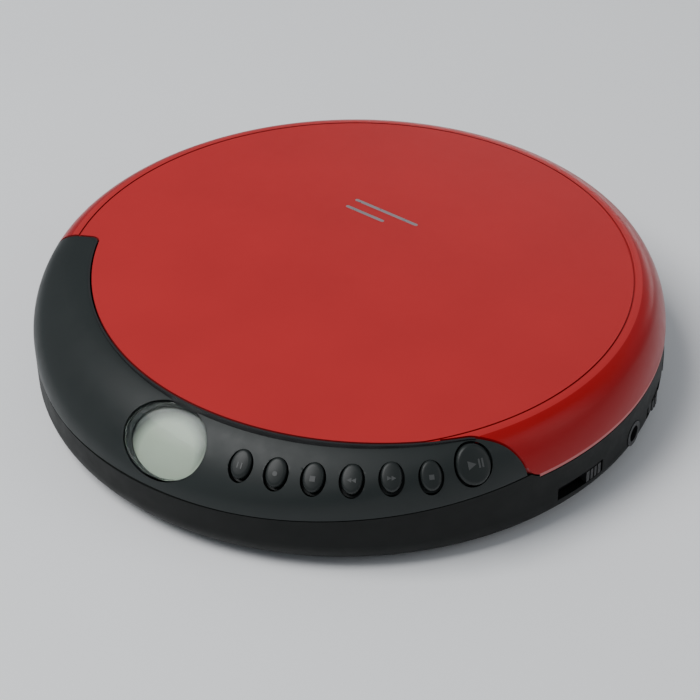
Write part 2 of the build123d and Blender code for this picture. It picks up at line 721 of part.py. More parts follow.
def chassis():
    """Drive frame: a plate with two rail blocks at each end and a pedestal for the spindle motor."""
    plate = block(-60.0, 18.0, -22.5, 24.0, *CHASSIS_Z) - block(-70, -50, -30, -19, 0, 20)
    plate += block(-36.0, -6.0, -33.0, -22.0, *CHASSIS_Z) + block(-63.0, -59.0, -10.5, 19.0, *CHASSIS_Z)
    plate -= block(-58.0, -12.0, -4.5, 12.9, 0, 20)
    for y in RAIL_Y:
        for x in (-61.5, -10.0):
            plate += block(x - 1.0, x + 1.2, y - 1.7, y + 1.7, CHASSIS_Z[0], 12.4)
        plate -= rod_x(RAIL_R, -62.8, -8.3, y, RAIL_Z)
    for x, y in damper_places():
        plate -= disc(1.9, 0, 20, x, y)
    plate -= disc(2.2, 0, 20, *motor_centre())
    plate -= disc(1.0, 0, 20, *drive_centre())
    return plate


def damper_rubbers():
    """Grommets between the drive frame and its posts."""
    rubbers = []
    for x, y in damper_places():
        grommet = disc(2.9, 5.8, CHASSIS_Z[0], x, y) + disc(2.9, CHASSIS_Z[1], 10.8, x, y)
        grommet += disc(1.9, 5.8, 10.8, x, y)
        rubbers.append(grommet - disc(0.8, 4, 14, x, y))
    return rubbers


def chassis_screws():
    screws = []
    for x, y in damper_places():
        screws.append(disc(2.2, 10.8, 11.8, x, y) + disc(0.8, 5.8, 11.0, x, y))
    return screws


def spindle_motor():
    motor = disc(9.0, CHASSIS_Z[1], 16.4, *SPINDLE) + disc(2.4, 16.4, 17.0, *SPINDLE)
    return motor - disc(0.8, 8, 18, *SPINDLE)


def turntable():
    """Platter and hub that the disc clips onto, with the motor shaft inside."""
    platter = ring(2.0, 14.5, 18.2, SEAT_Z - 0.3, *SPINDLE) + ring(12.0, 14.5, 18.2, SEAT_Z, *SPINDLE)
    hub = disc(7.4, 18.2, 21.6, *SPINDLE) + disc(2.2, 17.2, 18.4, *SPINDLE)
    hub = chamfer(hub.edges().sort_by(Axis.Z)[-1], 0.9)
    table = platter + hub
    for index in range(3):
        table -= around_spindle(120 * index, disc(1.05, 19.7, 20.9, 6.9, 0))
    return table - disc(0.75, 10, 20.8, *SPINDLE)


def around_spindle(angle, shape):
    return Pos(SPINDLE[0], SPINDLE[1], 0) * Rot(0, 0, angle) * shape


def chuck_balls():
    """Three balls in the hub that hold the disc by its hole."""
    return [around_spindle(120 * index, Pos(6.9, 0, 20.3) * Sphere(0.6)) for index in range(3)]


def motor_shaft():
    return disc(0.75, 10.2, 20.8, *SPINDLE)


def sled_motor():
    x, y = motor_centre()
    return disc(6.2, 4.2, CHASSIS_Z[0], x, y) + disc(1.9, CHASSIS_Z[0], 10.2, x, y) - disc(0.55, 5, 12, x, y)


def motor_pinion():
    """Pinion of the sled motor with its shaft, meshing with the large wheel."""
    x, y = motor_centre()
    facing = MOTOR_DIRECTION + 180 + 180 / MOTOR_TEETH
    return gear(MOTOR_TEETH, 15.0, 16.4, x, y, facing) + disc(0.5, 5.2, 16.8, x, y)


def drive_gear():
    """Compound gear: the large wheel takes the motor and the small pinion moves the rack."""
    x, y = drive_centre()
    wheel = gear(WHEEL_TEETH, 15.0, 16.4, x, y, MOTOR_DIRECTION)
    pinion = gear(PINION_TEETH, 12.3, 15.0, x, y, 90.0 + 180 / PINION_TEETH)
    return wheel + pinion + disc(2.0, 10.2, 12.4, x, y) - disc(1.05, 5, 20, x, y)


def gear_axle():
    x, y = drive_centre()
    return disc(1.0, CHASSIS_Z[0], 16.9, x, y)


def main_board():
    board = disc(BOARD_R, *BOARD_Z) & block(20.5, 70, -50, 24, 0, 20)
    board += disc(BOARD_R, *BOARD_Z) & block(40, 70, 20, 46, 0, 20)
    for x, y in BOARD_SCREWS:
        board -= disc(SCREW_R, 0, 20, x, y)
    for x, y in POSTS:
        board -= disc(POST_R + 0.4, 0, 20, x, y)
    for angle in (-20, -29):
        board -= around(angle, block(64.0, 67.0, -2.5, 2.5, 0, 20))
    return board


def board_chips():
    """Surface-mounted packages on the main board."""
    places = [(36, 2, 12, 12, 1.4), (30, -22, 9, 9, 1.2), (44, -8, 8, 5, 1.2), (29, 16, 7, 5, 1.2),
              (40, -26, 6, 4, 1.0), (50, -2, 4, 3, 1.8)]
    return [block(x - a / 2, x + a / 2, y - b / 2, y + b / 2, BOARD_Z[1], BOARD_Z[1] + h)
            for x, y, a, b, h in places]


def board_capacitors():
    places = [(47, 8, 2.5, 5.4), (24.5, -34, 3.1, 6.0), (31, -34, 2.5, 5.4), (42, 18, 2.0, 5.0),
              (24, 5, 2.0, 4.6)]
    return [disc(r, BOARD_Z[1], BOARD_Z[1] + h, x, y) for x, y, r, h in places]


def board_screws():
    return [disc(1.9, BOARD_Z[1], 4.9, x, y) + disc(SCREW_R, 1.4, 4.2, x, y) for x, y in BOARD_SCREWS]


def flex_cable():
    """Flat cable from the drive frame down to its connector on the main board."""
    cable = block(8.0, 23.2, -14.0, -6.0, 8.2, 8.5) + block(22.9, 23.2, -14.0, -6.0, 4.4, 8.5)
    return cable + block(22.0, 25.0, -15.0, -5.0, BOARD_Z[1], 5.6)


def write(name, shape):
    pieces = shape if isinstance(shape, list) else [shape]
    solids = [solid for piece in pieces for solid in piece.solids()]
    export_step(Compound(children=solids, label=name), f"parts/{name}.step")


write("base_shell", base_shell())
write("feet", feet())
write("battery_door", battery_door())
write("battery_contacts", battery_contacts())
write("case_screws", case_screws())
write("lid_shell", lid_shell())
write("hinge_pin", hinge_pin())
write("control_panel", control_panel())
write("lcd_lens", lcd_lens())
write("lcd_bezel", lcd_bezel())
write("lcd_module", lcd_module())
for number, plane in enumerate(key_planes(), 1):
    write(f"key_{number}", key(plane, KEY_CAP, KEY_WELL))
write("key_play", key(play_plane(), PLAY_CAP, PLAY_WELL))
write("key_board", key_board())
write("key_switches", key_switches())
write("deck", deck())
write("open_slider", open_slider())
for name, angle in JACKS.items():
    write(name, phone_jack(angle))
write("dc_jack", dc_jack())
write("volume_wheel", volume_wheel())
write("volume_pot", volume_pot())
for name, angle in SWITCHES.items():
    write(f"{name}_knob", switch_knob(angle))
    write(f"{name}_switch", switch_case(angle))
write("chassis", chassis())
write("guide_rails", guide_rails())
write("damper_rubbers", damper_rubbers())
write("chassis_screws", chassis_screws())
write("spindle_motor", spindle_motor())
write("motor_shaft", motor_shaft())
write("turntable", turntable())
write("chuck_balls", chuck_balls())
write("sled", sled())
write("sled_rack", sled_rack())
write("objective_holder", objective())
write("objective_lens", objective_lens())
write("sled_motor", sled_motor())
write("motor_pinion", motor_pinion())
write("drive_gear", drive_gear())
write("gear_axle", gear_axle())
write("main_board", main_board())
write("board_chips", board_chips())
write("board_capacitors", board_capacitors())
write("board_screws", board_screws())
write("flex_cable", flex_cable())
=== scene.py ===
import json
import math

import bmesh
import bpy
from mathutils import Matrix, Vector


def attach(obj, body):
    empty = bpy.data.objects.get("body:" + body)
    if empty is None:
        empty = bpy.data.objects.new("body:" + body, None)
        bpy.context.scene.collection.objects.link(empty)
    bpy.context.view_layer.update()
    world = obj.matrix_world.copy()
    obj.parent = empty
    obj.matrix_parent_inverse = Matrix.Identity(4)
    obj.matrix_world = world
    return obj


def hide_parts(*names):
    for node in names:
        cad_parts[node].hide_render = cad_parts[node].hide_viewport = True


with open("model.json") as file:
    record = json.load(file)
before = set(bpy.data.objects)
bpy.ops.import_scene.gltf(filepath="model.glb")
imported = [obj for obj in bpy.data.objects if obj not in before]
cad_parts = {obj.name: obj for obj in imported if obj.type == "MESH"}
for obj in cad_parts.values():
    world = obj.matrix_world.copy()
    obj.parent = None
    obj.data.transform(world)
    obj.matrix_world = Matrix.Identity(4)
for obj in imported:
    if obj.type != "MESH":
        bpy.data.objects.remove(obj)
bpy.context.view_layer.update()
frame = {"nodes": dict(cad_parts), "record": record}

# Sizes of the object are in millimetres and its angles in degrees. MM turns them into metres.
# The camera and the lights are in metres. The front is -Y.
MM = 0.001
BODY_R = 70.0
SKIN = 1.7
LID_LOW = 14.6
CREASE_R = 62.5
CREASE_Z = 25.6
DOME_RISE = 0.9
RIM_TIGHT = 6.2
RIM_TIGHT_C = (CREASE_R, CREASE_Z - RIM_TIGHT)
RIM_H = CREASE_Z - LID_LOW
RIM_W = BODY_R - CREASE_R
RIM_WIDE = (RIM_W ** 2 + (RIM_H - RIM_TIGHT) ** 2 - RIM_TIGHT ** 2) / (2 * (RIM_W - RIM_TIGHT))
RIM_WIDE_C = (BODY_R - RIM_WIDE, LID_LOW)
RIM_BEND = math.atan2(RIM_TIGHT_C[1] - RIM_WIDE_C[1], RIM_TIGHT_C[0] - RIM_WIDE_C[0])
SLOPE_AXIS_Y = 20.0
SLOPE_C = (69.36, 4.54)
SLOPE_R = 21.8
PART_Z = 17.2
PART_X_SLOPE = 0.012
PART_Y_SLOPE = 0.083
SEAM_C = (3.8, 7.3)
SEAM_R = 64.35
SEAM_LEFT = -153.7
HOOK_START = (56.0, -30.4)
HOOK_ANGLE = 34.0
HOOK_FILLET = 6.0
LEFT_FILLET = 2.0
SEAM_HALF_GAP = 0.2
PART_GAP = 0.25
PANEL_RIDGE = 1.1                     # how softly the panel's dome and slope run together
RAY_START = (52.0, 12.0)              # radius and height of the ring that the panel is measured from
LID_CORNER = 3.2
GROOVE_HALF = 0.2                     # groove round the flat of the lid
GROOVE_DEPTH = 0.35
SATIN_HIGHLIGHT_R = 64.3                        # where the satin top of the lid gives way to the glossy rim; the top's lighter red runs past the crease to here as a painted highlight band
HINGE_Y = 67.0
HINGE_Z = 13.4
BARREL_R = 2.6
BARREL_X = (4.2, 13.5)
PIN_R = 0.75
BARB_RADII = (60.5, 62.1)
BARB_Z = (9.1, 10.3)
SHANK_TOP = 24.6
KEY_CAPS = ((2.1, 3.0), (3.5, 4.1))   # half width and half length of a small cap and of the play cap
KEY_WELLS = ((2.6, 3.45), (4.05, 4.6))
KEY_FOOT = 2.5                        # from the foot of a CAD key up to the skin
DISPLAY = (9.7, 7.75)                 # half axes of the display's lens
DISPLAY_WELL = (10.15, 8.2)
DISPLAY_XY = (4.5, -64.3)
DISPLAY_BEND = 122.0                  # radius of the skin along the display
DISPLAY_STEPS = 96
BAR_RADIUS = 0.45
BAR_XY = (-15.5, 21.5)
KEY_RISES = (0.4, 0.0)                # how far such a cap sits above the middle of its well

TARGET = Vector((0.0, 0.0, 4.0 * MM))
AZIMUTH = math.radians(40.0)
ELEVATION = math.radians(36.67)
ROLL = math.radians(-1.1)
DISTANCE = 0.4530
SENSOR = 36.0
LENS = 102.857
LIGHT_AIM = Vector((0.0, 0.0, 0.02))


def add_camera():
    data = bpy.data.cameras.new("camera")
    data.sensor_width = SENSOR
    data.lens = LENS
    data.shift_y = -0.006
    camera = bpy.data.objects.new("camera", data)
    bpy.context.scene.collection.objects.link(camera)
    back = Vector((math.sin(AZIMUTH) * math.cos(ELEVATION),
                   -math.cos(AZIMUTH) * math.cos(ELEVATION),
                   math.sin(ELEVATION)))
    turn = back.to_track_quat("Z", "Y") @ Matrix.Rotation(ROLL, 3, "Z").to_quaternion()
    camera.location = TARGET + back * DISTANCE
    camera.rotation_euler = turn.to_euler()
    bpy.context.scene.camera = camera


def add_area_light(name, place, size, power):
    data = bpy.data.lights.new(name, "AREA")
    data.shape = "RECTANGLE"
    data.size, data.size_y = size
    data.energy = power
    light = bpy.data.objects.new(name, data)
    light.location = place
    light.rotation_euler = (Vector(place) - LIGHT_AIM).to_track_quat("Z", "Y").to_euler()
    bpy.context.scene.collection.objects.link(light)


def add_studio():
    world = bpy.data.worlds.new("studio")
    world.use_nodes = True
    sky = world.node_tree.nodes["Background"]
    sky.inputs["Color"].default_value = (0.86, 0.92, 1.0, 1.0)
    sky.inputs["Strength"].default_value = 0.30
    bpy.context.scene.world = world
    add_area_light("key", (-0.30, -0.42, 0.85), (0.55, 0.55), 9.0)
    add_area_light("side", (0.80, 0.30, 0.45), (0.5, 0.7), 1.3)
    add_area_light("back", (-0.25, 0.95, 0.12), (0.9, 0.12), 1.6)


def noise(nodes, scale, detail, roughness=0.5):
    texture = nodes.new("ShaderNodeTexNoise")
    texture.inputs["Scale"].default_value = scale
    texture.inputs["Detail"].default_value = detail
    texture.inputs["Roughness"].default_value = roughness
    return texture


def ramp(nodes, low, high, start=0.3, end=0.7):
    stops = nodes.new("ShaderNodeValToRGB")
    stops.color_ramp.elements[0].position = start
    stops.color_ramp.elements[1].position = end
    stops.color_ramp.elements[0].color = low
    stops.color_ramp.elements[1].color = high
    return stops


def grey(value):
    return (value, value, value, 1.0)


def surface(name, colour, darker, roughness, grain=(900.0, 0.02),
            metallic=0.0, coat=0.0, specular=0.5, patch=45.0):
    """A moulded or metal surface: slow colour change, fine grain in bump, uneven gloss."""
    material = bpy.data.materials.new(name)
    material.use_nodes = True
    nodes = material.node_tree.nodes
    link = material.node_tree.links.new
    shader = nodes["Principled BSDF"]
    shader.inputs["Metallic"].default_value = metallic
    shader.inputs["Coat Weight"].default_value = coat
    shader.inputs["Coat Roughness"].default_value = 0.05
    shader.inputs["Specular IOR Level"].default_value = specular
    place = nodes.new("ShaderNodeTexCoord")
    slow = noise(nodes, patch, 2.0)
    link(place.outputs["Object"], slow.inputs["Vector"])
    dark = tuple(c * darker for c in colour) + (1.0,)
    tint = ramp(nodes, dark, tuple(colour) + (1.0,))
    link(slow.outputs["Fac"], tint.inputs["Fac"])
    link(tint.outputs["Color"], shader.inputs["Base Color"])
    smear = noise(nodes, patch * 6.0, 5.0, 0.6)
    link(place.outputs["Object"], smear.inputs["Vector"])
    gloss = ramp(nodes, grey(roughness[0]), grey(roughness[1]))
    link(smear.outputs["Fac"], gloss.inputs["Fac"])
    link(gloss.outputs["Color"], shader.inputs["Roughness"])
    fine = noise(nodes, grain[0], 3.0, 0.6)
    link(place.outputs["Object"], fine.inputs["Vector"])
    bump = nodes.new("ShaderNodeBump")
    bump.inputs["Strength"].default_value = grain[1]
    bump.inputs["Distance"].default_value = 0.1 * MM
    link(fine.outputs["Fac"], bump.inputs["Height"])
    link(bump.outputs["Normal"], shader.inputs["Normal"])
    return material


# Mesh tools ---------------------------------------------------------------------------------

def new_piece(name, points, faces):
    """A mesh from points in millimetres."""
    mesh = bpy.data.meshes.new(name)
    mesh.from_pydata([tuple(c * MM for c in p) for p in points], [], faces)
    piece = bpy.data.objects.new(name, mesh)
    bpy.context.scene.collection.objects.link(piece)
    shape = bmesh.new()
    shape.from_mesh(mesh)
    bmesh.ops.remove_doubles(shape, verts=shape.verts, dist=0.001 * MM)
    bmesh.ops.recalc_face_normals(shape, faces=shape.faces)
    shape.to_mesh(mesh)
    shape.free()
    return piece


def lathe(name, outline, steps):
    """Turns a closed outline of (radius, height) about the vertical axis."""
    points = []
    for step in range(steps):
        turn = 2 * math.pi * step / steps
        points += [(r * math.cos(turn), r * math.sin(turn), z) for r, z in outline]
    count = len(outline)
    faces = []
    for step in range(steps):
        here = step * count
        there = (step + 1) % steps * count
        for i in range(count):
            j = (i + 1) % count
            faces.append((here + i, there + i, there + j, here + j))
    return new_piece(name, points, faces)


def between(name, first, last):
    """A solid between two outlines with the same number of points."""
    count = len(first)
    faces = [tuple(reversed(range(count))), tuple(range(count, 2 * count))]
    for i in range(count):
        j = (i + 1) % count
        faces.append((i, j, count + j, count + i))
    return new_piece(name, first + last, faces)


def prism(name, outline, z0, z1):
    return between(name, [(x, y, z0) for x, y in outline], [(x, y, z1) for x, y in outline])


def rod_x(name, radius, x0, x1, y, z):
    circle = ellipse((radius, radius), 48)
    first, last = ([(x, y + dy, z + dz) for dy, dz in circle] for x in (x0, x1))
    return between(name, first, last)


def block(name, x0, x1, y0, y1, z0, z1):
    return prism(name, [(x0, y0), (x1, y0), (x1, y1), (x0, y1)], z0, z1)


def combine(piece, tool, how):
    """Boolean with a tool that is used up."""
    step = piece.modifiers.new("step", "BOOLEAN")
    step.operation = how
    step.solver = "EXACT"
    step.object = tool
    bake(piece)
    bpy.data.objects.remove(tool)


def cut(piece, tool):
    combine(piece, tool, "DIFFERENCE")


def join(piece, tool):
    combine(piece, tool, "UNION")


def keep(piece, tool):
    combine(piece, tool, "INTERSECT")


def bake(piece):
    bpy.context.view_layer.update()
    graph = bpy.context.evaluated_depsgraph_get()
    mesh = bpy.data.meshes.new_from_object(piece.evaluated_get(graph))
    piece.modifiers.clear()
    piece.data = mesh


def soften(piece, width, angle):
    edge = piece.modifiers.new("edge", "BEVEL")
    edge.width = width * MM
    edge.segments = 2
    edge.limit_method = "ANGLE"
    edge.angle_limit = math.radians(angle)
    bake(piece)


def smooth(piece, angle=32.0):
    mesh = piece.data
    mesh.shade_smooth()
    mesh.set_sharp_from_angle(angle=math.radians(angle))


def dress(piece, material, body):
    piece.data.materials.clear()
    piece.data.materials.append(material)
    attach(piece, body)


def arc(centre, radius, start, end, steps):
    turns = [start + (end - start) * i / steps for i in range(steps + 1)]
    return [(centre[0] + radius * math.cos(a), centre[1] + radius * math.sin(a)) for a in turns]


# The two skins ------------------------------------------------------------------------------

def dome_outline(inset):
    """Points from the wall up over the rim to the middle of the dome."""
    points = arc(RIM_WIDE_C, RIM_WIDE - inset, 0, RIM_BEND, 12)
    points += arc(RIM_TIGHT_C, RIM_TIGHT - inset, RIM_BEND, math.pi / 2, 22)[1:]
    for i in range(1, 41):
        r = CREASE_R * (1 - i / 40)
        rise = DOME_RISE * (1 - (r / CREASE_R) ** 2)
        points.append((r, CREASE_Z - inset + rise))
    return points


def dome_depth(r, z):
    """How far inside the dome's outer skin a point lies."""
    if z < LID_LOW:
        return BODY_R - r
    if math.atan2(z - RIM_WIDE_C[1], r - RIM_WIDE_C[0]) < RIM_BEND:
        return RIM_WIDE - math.hypot(r - RIM_WIDE_C[0], z - RIM_WIDE_C[1])
    if r > CREASE_R and z > RIM_TIGHT_C[1]:
        return RIM_TIGHT - math.hypot(r - RIM_TIGHT_C[0], z - RIM_TIGHT_C[1])
    return CREASE_Z - z


def slope_depth(x, y, z):
    reach = math.hypot(x, y - SLOPE_AXIS_Y)
    if z < SLOPE_C[1]:
        return SLOPE_C[0] + SLOPE_R - reach
    if reach > SLOPE_C[0]:
        return SLOPE_R - math.hypot(reach - SLOPE_C[0], z - SLOPE_C[1])
    return SLOPE_C[1] + SLOPE_R - z


def skin_depth(x, y, z):
    """Depth under the panel's skin, with its ridge rounded."""
    a = dome_depth(math.hypot(x, y), z)
    b = slope_depth(x, y, z)
    mix = max(PANEL_RIDGE - abs(a - b), 0.0) / PANEL_RIDGE
    return min(a, b) - mix * mix * PANEL_RIDGE * 0.25


def skin_point(turn, lift, inset):
    """Where a ray from a ring inside the rim meets the skin, found by halving."""
    near, far = 0.0, 40.0
    c, s = math.cos(turn), math.sin(turn)
    for _ in range(26):
        middle = (near + far) / 2
        r = RAY_START[0] + middle * math.cos(lift)
        z = RAY_START[1] + middle * math.sin(lift)
        if skin_depth(r * c, r * s, z) > inset:
            near = middle
        else:
            far = middle
    r = RAY_START[0] + near * math.cos(lift)
    return (r * c, r * s, RAY_START[1] + near * math.sin(lift))


def panel_shell():
    """Closed shell of the panel's skin, larger than the panel all round."""
    across, along = 90, 300
    points = []
    for inset in (0.0, SKIN):
        for i in range(along + 1):
            turn = math.radians(-162 + 166 * i / along)
            for j in range(across + 1):
                lift = math.radians(-35 + 155 * j / across)
                points.append(skin_point(turn, lift, inset))
    row = across + 1
    layer = row * (along + 1)
    faces = []
    for i in range(along):
        for j in range(across):
            a = i * row + j
            faces.append((a, a + row, a + row + 1, a + 1))
            faces.append((layer + a, layer + a + 1, layer + a + row + 1, layer + a + row))
        for a in (i * row, i * row + across):
            faces.append((a, a + row, layer + a + row, layer + a))
    for j in range(across):
        for a in (j, along * row + j):
            faces.append((a, a + 1, layer + a + 1, layer + a))
    return new_piece("panel_skin", points, faces)


def unit(degrees):
    return Vector((math.cos(math.radians(degrees)), math.sin(math.radians(degrees))))


def tangent_centre(point, direction, reach):
    """Where a line through point, seen from the seam's centre, is reach away from it."""
    base = point - Vector(SEAM_C)
    half = base.dot(direction)
    return point + direction * (math.sqrt(half ** 2 - base.length_squared + reach ** 2) - half)


def turn_between(first, last):
    return first + (last - first + math.pi) % (2 * math.pi) - math.pi


def crescent_outline(grow):
    """Plan of the panel grown by grow: hook at the right, seam circle, straight cut at the left."""
    hook = unit(HOOK_ANGLE)
    into_lid = Vector((-hook.y, hook.x))
    left = unit(SEAM_LEFT)
    above = Vector((left.y, -left.x))
    centre = Vector(SEAM_C)
    radius = SEAM_R - grow
    right_fillet = HOOK_FILLET + grow
    left_fillet = LEFT_FILLET + grow
    start = Vector(HOOK_START) + into_lid * grow
    middle = tangent_centre(start - into_lid * right_fillet, hook, radius + right_fillet)
    first = math.atan2(into_lid.y, into_lid.x)
    inward = centre - middle
    points = [tuple(start + hook * 40)]
    points += arc(middle, right_fillet, first, turn_between(first, math.atan2(inward.y, inward.x)), 14)
    corner = tangent_centre(above * (grow - left_fillet), left, radius + left_fillet)
    last = turn_between(math.radians(-100), math.atan2(corner.y - centre.y, corner.x - centre.x))
    points += arc(centre, radius, math.atan2(-inward.y, -inward.x), last, 240)[1:]
    end = math.atan2(above.y, above.x)
    back = turn_between(end, math.atan2(centre.y - corner.y, centre.x - corner.x))
    points += arc(corner, left_fillet, back, end, 10)[1:]
    points.append(tuple(corner + above * left_fillet + left * 40))
    return points + [(-120.0, -120.0), (120.0, -120.0)]


def parting_cutter(lift):
    """Everything under the tilted parting plane."""
    corners = [(-100.0, -100.0), (100.0, -100.0), (100.0, 100.0), (-100.0, 100.0)]
    low = [(x, y, -10.0) for x, y in corners]
    high = [(x, y, PART_Z + lift + PART_X_SLOPE * x + PART_Y_SLOPE * y) for x, y in corners]
    return between("parting", low, high)


class Seat:
    """A place on a skin: x along the body, y up the slope, z outward."""

    def __init__(self, origin, normal):
        self.origin = Vector(origin)
        self.z = Vector(normal).normalized()
        self.x = Vector((-self.z.y, self.z.x, 0.0)).normalized()
        self.y = self.z.cross(self.x)

    def at(self, u, v, w):
        return tuple(self.origin + self.x * u + self.y * v + self.z * w)


def ellipse(half, steps=72):
    turns = [2 * math.pi * i / steps for i in range(steps)]
    return [(half[0] * math.cos(a), half[1] * math.sin(a)) for a in turns]


def seat_prism(name, seat, outline, w0, w1):
    low, high = ([seat.at(u, v, w) for u, v in outline] for w in (w0, w1))
    return between(name, low, high)


def rings(name, layers):
    """A closed solid from a stack of rings of equal length, closed by a fan at both ends."""
    count = len(layers[0])
    points = [p for layer in layers for p in layer]
    faces = []
    for level in range(len(layers) - 1):
        low = level * count
        for i in range(count):
            j = (i + 1) % count
            faces.append((low + i, low + j, low + count + j, low + count + i))
    faces.append(tuple(range(count)))
    faces.append(tuple(range((len(layers) - 1) * count, len(layers) * count)))
    return new_piece(name, points, faces)


def slope_seat(x, y):
    out = Vector((x, y - SLOPE_AXIS_Y, 0.0))
    reach = out.length - SLOPE_C[0]
    rise = math.sqrt(SLOPE_R ** 2 - reach ** 2)
    normal = out.normalized() * reach + Vector((0.0, 0.0, rise))
    return Seat((x, y, SLOPE_C[1] + rise), normal)


def key_seat(name):
    """Seat of a key, from its joint's direction and the middle of its CAD node."""
    joints = {j["name"]: j for j in frame["record"]["behaviour"]["joints"]}
    normal = -Vector(joints[name + "_press"]["axis"])
    seat = Seat((0.0, 0.0, 0.0), normal)
    corners = [v.co / MM for v in frame["nodes"][name].data.vertices]
    spans = []
    for direction in (seat.x, seat.y):
        reach = [c.dot(direction) for c in corners]
        spans.append((min(reach) + max(reach)) / 2)
    foot = min(c.dot(seat.z) for c in corners) + KEY_FOOT
    seat.origin = seat.x * spans[0] + seat.y * spans[1] + seat.z * foot
    return seat


# Materials ----------------------------------------------------------------------------------

def make_materials():
    kinds = {
        "lid_top": surface("lid_top", (0.46, 0.022, 0.024), 0.93, (0.40, 0.46), (2600.0, 0.05),
                           specular=0.22),
        # painted shade: the glossy rim's red is set darker than the top's red of the same plastic
        "lid_rim_painted_shade": surface("lid_rim_painted_shade", (0.33, 0.006, 0.009), 0.92, (0.28, 0.34), (500.0, 0.01),
                           specular=0.16),
        # painted highlight: a lighter red for the band along the lid's lower edge
        "lid_edge_highlight": surface("lid_edge_highlight", (0.46, 0.10, 0.10), 0.9, (0.35, 0.45), (900.0, 0.03)),
        "lid_red": surface("lid_inside", (0.30, 0.020, 0.022), 0.9, (0.32, 0.42), (900.0, 0.03)),
        "panel_plastic": surface("panel", (0.018, 0.0225, 0.022), 0.85, (0.40, 0.48), (700.0, 0.015),
                                 specular=0.24),
        "body_plastic": surface("body", (0.006, 0.007, 0.0065), 0.85, (0.48, 0.58), (1300.0, 0.06),
                                specular=0.16),
        "black_plastic": surface("black", (0.011, 0.011, 0.012), 0.8, (0.38, 0.5), (1100.0, 0.05)),
        "key_plastic": surface("key", (0.015, 0.0185, 0.018), 0.85, (0.38, 0.46), (900.0, 0.02),
                               specular=0.28),
        "key_mark": surface("key_mark", (0.055, 0.058, 0.058), 0.8, (0.4, 0.5)),
        "display": surface("display", (0.42, 0.49, 0.38), 0.93, (0.25, 0.35), (700.0, 0.01), patch=70.0),
        "bezel": surface("bezel", (0.085, 0.095, 0.095), 0.8, (0.22, 0.3), (900.0, 0.02)),
        "rubber": surface("rubber", (0.012, 0.012, 0.012), 0.75, (0.7, 0.85), (900.0, 0.1)),
        "steel": surface("steel", (0.50, 0.51, 0.52), 0.85, (0.2, 0.34), (600.0, 0.03), metallic=1.0),
        "nickel": surface("nickel", (0.62, 0.59, 0.53), 0.85, (0.16, 0.28), (600.0, 0.03), metallic=1.0),
        "silver_print": surface("silver_print", (0.55, 0.55, 0.56), 0.85, (0.25, 0.35), metallic=0.8),
        "board_green": surface("board", (0.012, 0.10, 0.045), 0.8, (0.3, 0.45), (700.0, 0.05)),
        "white_plastic": surface("white", (0.62, 0.61, 0.57), 0.92, (0.35, 0.45), (900.0, 0.03)),
        "optic": surface("optic", (0.10, 0.12, 0.30), 0.6, (0.04, 0.08), coat=1.0),
        "cable": surface("cable", (0.50, 0.38, 0.20), 0.8, (0.35, 0.5), (500.0, 0.05)),
    }
    kinds["clear_lens"] = clear_plastic()
    return kinds


def clear_plastic():
    material = surface("clear_lens", (0.90, 0.93, 0.91), 0.97, (0.02, 0.05), (400.0, 0.002))
    shader = material.node_tree.nodes["Principled BSDF"]
    shader.inputs["Transmission Weight"].default_value = 1.0
    shader.inputs["IOR"].default_value = 1.12
    return material


# Pieces -------------------------------------------------------------------------------------

def barb():
    """Shank under the lid's front edge, with the barb that the slider's finger ends beside."""
    shank = ring_sector("shank", BARB_RADII, (-37.2, -34.8), BARB_Z[0], SHANK_TOP)
    join(shank, ring_sector("barb", BARB_RADII, (-38.6, -34.8), BARB_Z[0], BARB_Z[1]))
    return shank


def ring_sector(name, radii, angles, z0, z1):
    start, end = (math.radians(a) for a in angles)
    outline = arc((0, 0), radii[1], start, end, 10) + arc((0, 0), radii[0], end, start, 10)
    return prism(name, outline, z0, z1)


def corner_cutter():
    """What the rounding of the lid's lower corner takes off."""
    hook = unit(HOOK_ANGLE)
    into_lid = Vector((-hook.y, hook.x))
    start = Vector(HOOK_START) + into_lid * SEAM_HALF_GAP
    outline = [(-0.5, -0.5), (LID_CORNER + 0.5, -0.5), (LID_CORNER + 0.5, 0.0)]
    outline += arc((LID_CORNER, LID_CORNER), LID_CORNER, -math.pi / 2, -math.pi, 12)
    outline += [(0.0, LID_CORNER + 0.5), (-0.5, LID_CORNER + 0.5)]
    layers = []
    for along in (3.0, 14.0):
        foot = start + hook * along
        edge = [(foot + into_lid * u, LID_LOW + v) for u, v in outline]
        layers.append([(place.x, place.y, z) for place, z in edge])
    return rings("corner", layers)


def lid_finish(face):
    """Satin top whose lighter red reaches onto the rim's shoulder as a painted highlight, glossy rim in
    a darker red as painted shade with a painted highlight along its lower edge, and a plain inside.
    """
    radius = face.center.xy.length / MM
    height = face.center.z / MM
    outward = face.normal.xy.dot(face.center.xy) > 0
    on_rim = radius > BODY_R - 0.9 and height > LID_LOW + 0.01 and outward
    # painted highlight: the top's lighter red also covers the rim's shoulder just past the crease
    if height > CREASE_Z - 0.9 and radius < SATIN_HIGHLIGHT_R and face.normal.z > 0.5:
        return 0
    # painted highlight: faces low on the outer rim get the lighter edge red
    if on_rim and height < LID_LOW + 0.75:
        return 3
    # painted shade: the rest of the outer rim takes the darker rim red
    if face.normal.z > -0.01 and outward and radius > CREASE_R - 0.3:
        return 1
    return 2


